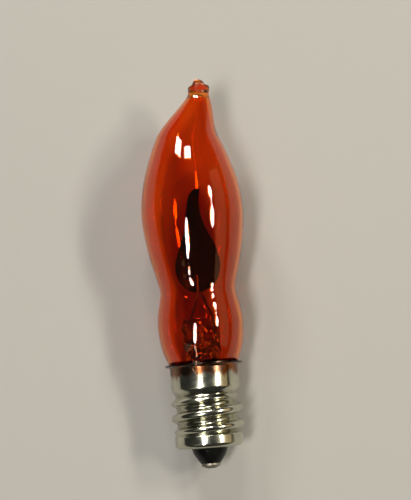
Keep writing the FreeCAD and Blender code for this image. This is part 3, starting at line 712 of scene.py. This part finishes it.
# %% Stem with its press
TUBE, PRESS_THICK, PRESS_WIDE = 2.9, 0.95, 3.1
SQUEEZE_FROM, SQUEEZE_OVER = 1.3, 2.3
CRUMPLE_FROM, CRUMPLE_OVER, CRUMPLE = 0.6, 2.5, 0.3
COARSE_GRAIN, FINE_GRAIN, FINE_SHARE = 0.7, 1.6, 0.4
CRUMPLE_SEED = 1796094846
noise.seed_set(CRUMPLE_SEED)
foot = smooth_line([
    (-4.5, 3.72), (-4.1, 3.7), (-3.3, 3.1), (-2.6, TUBE), (-0.6, TUBE), (1.5, TUBE), (3.4, TUBE),
    (5.0, TUBE), (6.4, TUBE), (7.1, 2.85), (7.4, 2.5),
], steps=5)
bore = smooth_line([
    (3.1, 0.0), (3.0, 1.2), (2.2, 2.2), (1.2, 2.4), (-0.6, 2.4), (-2.6, 2.4), (-3.4, 2.65),
    (-4.1, 3.15), (-4.5, 3.2),
], steps=5)
bm = turned([(7.4, 0.0), (7.4, 1.2)] + foot[::-1] + bore[::-1], steps=80)
for vert in bm.verts:
    squeeze = eased((vert.co.z - SQUEEZE_FROM) / SQUEEZE_OVER)
    vert.co.y *= 1 - squeeze * (1 - PRESS_THICK / TUBE)
    vert.co.x *= 1 + squeeze * (PRESS_WIDE / TUBE - 1)
    crumple = eased((vert.co.z - CRUMPLE_FROM) / CRUMPLE_OVER)
    coarse = noise.noise_vector(vert.co * COARSE_GRAIN)
    fine = noise.noise_vector(vert.co * FINE_GRAIN)
    vert.co += (coarse + fine * FINE_SHARE) * CRUMPLE * crumple
finish_piece(bm, "pressed_stem", stem_glass, ["glass_stem"])

# %% [markdown]
# ## Flame plates
# The plates are the stamped flames of the CAD model. Their outline is right as it is, so it
# isn't drawn again. A CAD node's own mesh is left alone: a copy of its loose triangles is merged
# into a bmesh that can be worked on.


# %% A helper that copies a CAD node
def cad_copy(node):
    """A bmesh copy of a CAD node, its loose triangles merged, standing in millimetres."""
    bm = bmesh.new()
    bm.from_mesh(frame["nodes"][node].data)
    bmesh.ops.transform(bm, matrix=laid.inverted(), verts=bm.verts)
    bmesh.ops.remove_doubles(bm, verts=bm.verts, dist=MERGE_DISTANCE)
    return bm


# %% [markdown]
# Real plates come out of the press tool with a slight bow, and the bow is what draws the light
# into a streak down the front. A flat face can't bend, so the copy is first cut into strips by
# upright planes, and then bowed backwards at its edges.

# %% Bowed flame plates
PLATE_MIDDLE, PLATE_HALF_WIDTH, BOW = 0.24, 3.75, 0.34
CUT_SPACING, CUTS_EACH_SIDE = 0.4, 9
for node, name in (("front_flame_plate", "front_flame"), ("rear_flame_plate", "rear_flame")):
    bm = cad_copy(node)
    for cut in range(-CUTS_EACH_SIDE, CUTS_EACH_SIDE + 1):
        place = Vector((PLATE_MIDDLE + cut * CUT_SPACING, 0, 0))
        geom = bm.verts[:] + bm.edges[:] + bm.faces[:]
        bmesh.ops.bisect_plane(bm, geom=geom, plane_co=place, plane_no=(1, 0, 0), dist=1e-5)
    for vert in bm.verts:
        vert.co.y += BOW * ((vert.co.x - PLATE_MIDDLE) / PLATE_HALF_WIDTH) ** 2
    finish_piece(bm, name, plate_oxide, [node], sharp_degrees=30)

# %% [markdown]
# ## Wires and the small inner parts
# Two lead wires carry the plates, and a thin tail wire runs from one of them over the rim. Their
# shapes are right as the CAD model has them. They only need smooth shading, and that takes a
# merged copy.

# %% Wires with smooth shading
WIRES = {
    "front_lead_wire": ("front_lead", lead_metal, "lead_wire"),
    "rear_lead_wire": ("rear_lead", lead_metal, "lead_wire"),
    "side_tail_wire": ("tail_wire", copper, "copper_wire"),
}
for node, (name, material, slot) in WIRES.items():
    finish_piece(cad_copy(node), name, material, [node], sharp_degrees=40)

# %% [markdown]
# The resistor with its joint and the cement ring are hidden in the base. They keep their CAD
# mesh, and only get a finish.

# %% Finishes of the pieces inside the base
INNER = {
    "joint_solder": solder_metal, "resistor_core": ceramic, "resistor_upper_cap": tinned_steel,
    "resistor_lower_cap": tinned_steel, "resistor_upper_lead": tinned_steel,
    "resistor_lower_lead": tinned_steel, "basing_cement": cement,
}
for node, material in INNER.items():
    mesh = frame["nodes"][node].data
    mesh.materials.clear()
    mesh.materials.append(material)
    print(node, "keeps its CAD mesh, in", material.name)

# %% [markdown]
# ## Floor, light and camera
# A plain pale floor lies under the bulb. It is much wider than the bulb, so that no view from a
# low angle runs past its edge, and dull, so that it mirrors no lamp.

# %% Floor
FLOOR_HALF_SIZE = 1.5
bm = bmesh.new()
bmesh.ops.create_grid(bm, x_segments=2, y_segments=2, size=FLOOR_HALF_SIZE)
floor_mesh = bpy.data.meshes.new("floor")
bm.to_mesh(floor_mesh)
bm.free()
floor = bpy.data.objects.new("floor", floor_mesh)
bpy.context.scene.collection.objects.link(floor)
floor_paint = bpy.data.materials.new("floor_paint")
floor_paint.use_nodes = True
shader = floor_paint.node_tree.nodes["Principled BSDF"]
shader.inputs["Base Color"].default_value = (0.315, 0.302, 0.277, 1)
shader.inputs["Roughness"].default_value = 0.8
floor_mesh.materials.append(floor_paint)
floor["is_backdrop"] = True
print("floor", round(floor.dimensions.x, 2), "by", round(floor.dimensions.y, 2), "m")

# %% [markdown]
# Glass and bright metal show their surroundings more than themselves, so each soft box stands
# where its mirror image is wanted. It is placed by two angles from the bulb's front, always at
# the same distance. Its brightness is given as radiance, because a mirror image shows that,
# whatever the size of the lamp.

# %% A helper that places a soft box
BULB_MIDDLE = Vector((0, 0, 15))
LIGHT_DISTANCE = 0.5


def soft_box(name, right_degrees, tip_degrees, width, height, radiance, colour, slant=0.0,
             shape="RECTANGLE"):
    """An area light half a metre from the bulb. From the bulb's front it stands so many degrees
    to the right and so many towards the tip. Its radiance sets how bright its mirror image is."""
    right, tip = math.radians(right_degrees), math.radians(tip_degrees)
    out = Vector((
        math.sin(right) * math.cos(tip), -math.cos(right) * math.cos(tip), math.sin(tip),
    ))
    across = Vector((math.cos(right), math.sin(right), 0))
    along = out.cross(across)
    light = bpy.data.lights.new(name, "AREA")
    light.shape = shape
    light.size, light.size_y = width, height
    filled = math.pi / 4 if shape == "ELLIPSE" else 1.0
    light.energy = radiance * math.pi * width * height * filled
    light.color = colour
    box = bpy.data.objects.new(name, light)
    bpy.context.scene.collection.objects.link(box)
    turn = lying_turn @ Matrix((across, along, out)).transposed() @ Matrix.Rotation(slant, 3, "Z")
    box.rotation_mode = "QUATERNION"
    box.rotation_quaternion = turn.to_quaternion()
    box.location = laid @ BULB_MIDDLE + lying_turn @ out * LIGHT_DISTANCE
    print("light", name, round(light.energy, 2), "W")


# %% [markdown]
# On the left are a slanted lamp, a faint line below it and a dim panel. On the right are two
# lamps, a thin bar between them and a dim wall. Two panes of window light come from beyond the
# tip. A lamp that is an ellipse leaves a rounded glint.

# %% Lights
DAYLIGHT, LAMPLIGHT = (1.0, 0.98, 0.94), (1.0, 0.95, 0.84)
TIMBER, OLIVE = (1.0, 0.75, 0.4), (0.85, 1.0, 0.7)
soft_box("right_upper", 44, 22.5, 0.066, 0.09, 50.0, LAMPLIGHT, shape="ELLIPSE")
soft_box("right_lower", 44, 2, 0.066, 0.115, 50.0, LAMPLIGHT, shape="ELLIPSE")
soft_box("right_bar", 44, 12.5, 0.012, 0.10, 50.0, LAMPLIGHT)
soft_box("left_strip", -17, -10, 0.07, 0.192, 50.0, DAYLIGHT, math.radians(-22), "ELLIPSE")
soft_box("left_tail", -22, -32, 0.018, 0.2, 11.0, DAYLIGHT, shape="ELLIPSE")
soft_box("left_wall", -42, -25.5, 0.16, 0.11, 0.35, OLIVE)
soft_box("window_left", -35, 55, 0.11, 0.08, 40.0, DAYLIGHT)
soft_box("window_right", 0, 53, 0.11, 0.05, 40.0, DAYLIGHT)
soft_box("side_wall", 66, 6, 0.24, 0.6, 0.5, TIMBER)

# %% [markdown]
# The sky is dim, because bright metal and glass need something dark to reflect between the
# lamps. A brighter sky would soften the shadows, but it would also wash the nickel out.

# %% Sky
SKY_COLOUR, SKY_STRENGTH = (0.9, 0.92, 0.86, 1), 0.04
world = bpy.data.worlds.new("studio")
world.use_nodes = True
world.node_tree.nodes["Background"].inputs["Color"].default_value = SKY_COLOUR
world.node_tree.nodes["Background"].inputs["Strength"].default_value = SKY_STRENGTH
bpy.context.scene.world = world
print("sky strength", SKY_STRENGTH)

# %% [markdown]
# The camera looks down on the front of the flame. It stands over the base and looks slightly
# towards the tip. Its focal length is known in pixels of a frame 411 by 500, and Blender wants
# it in millimetres of the sensor's longer side. The view direction comes from two angles in
# the standing bulb's axes, the roll turns the picture round it, and one matrix lays all down.

# %% Camera
FRAME_HEIGHT = 500
FOCAL_PX = 968.4
SENSOR = 36.0
DISTANCE, ALONG, ASIDE = 160.0, -7.46, 0.28
PITCH_ANGLE, YAW_ANGLE, ROLL_ANGLE = (math.radians(a) for a in (9.35, 0.52, 4.37))
camera_data = bpy.data.cameras.new("camera")
camera_data.sensor_width = SENSOR
camera_data.lens = FOCAL_PX / FRAME_HEIGHT * SENSOR
camera_data.clip_start, camera_data.clip_end = 0.01, 10
camera = bpy.data.objects.new("camera", camera_data)
bpy.context.scene.collection.objects.link(camera)
view = Vector((
    math.sin(YAW_ANGLE) * math.cos(PITCH_ANGLE), math.cos(YAW_ANGLE) * math.cos(PITCH_ANGLE),
    math.sin(PITCH_ANGLE),
))
level_right = view.cross(Vector((0, 0, 1))).normalized()
level_up = level_right.cross(view)
camera_right = level_right * math.cos(ROLL_ANGLE) - level_up * math.sin(ROLL_ANGLE)
camera_up = level_right * math.sin(ROLL_ANGLE) + level_up * math.cos(ROLL_ANGLE)
turn = Matrix((camera_right, camera_up, -view)).transposed()
camera.rotation_mode = "QUATERNION"
camera.rotation_quaternion = (lying_turn @ turn).to_quaternion()
camera.location = laid @ Vector((ASIDE, -DISTANCE, ALONG))
bpy.context.scene.camera = camera
bpy.context.scene.view_settings.view_transform = "Standard"
print("lens", round(camera_data.lens, 1), "mm, camera at", [round(v, 3) for v in camera.location])

# %% [markdown]
# Last comes the box of the dressed bulb, in millimetres.

# %% The box of the dressed bulb
low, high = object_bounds()
print("visual box", [round(v * 1000, 2) for v in high - low], "mm")
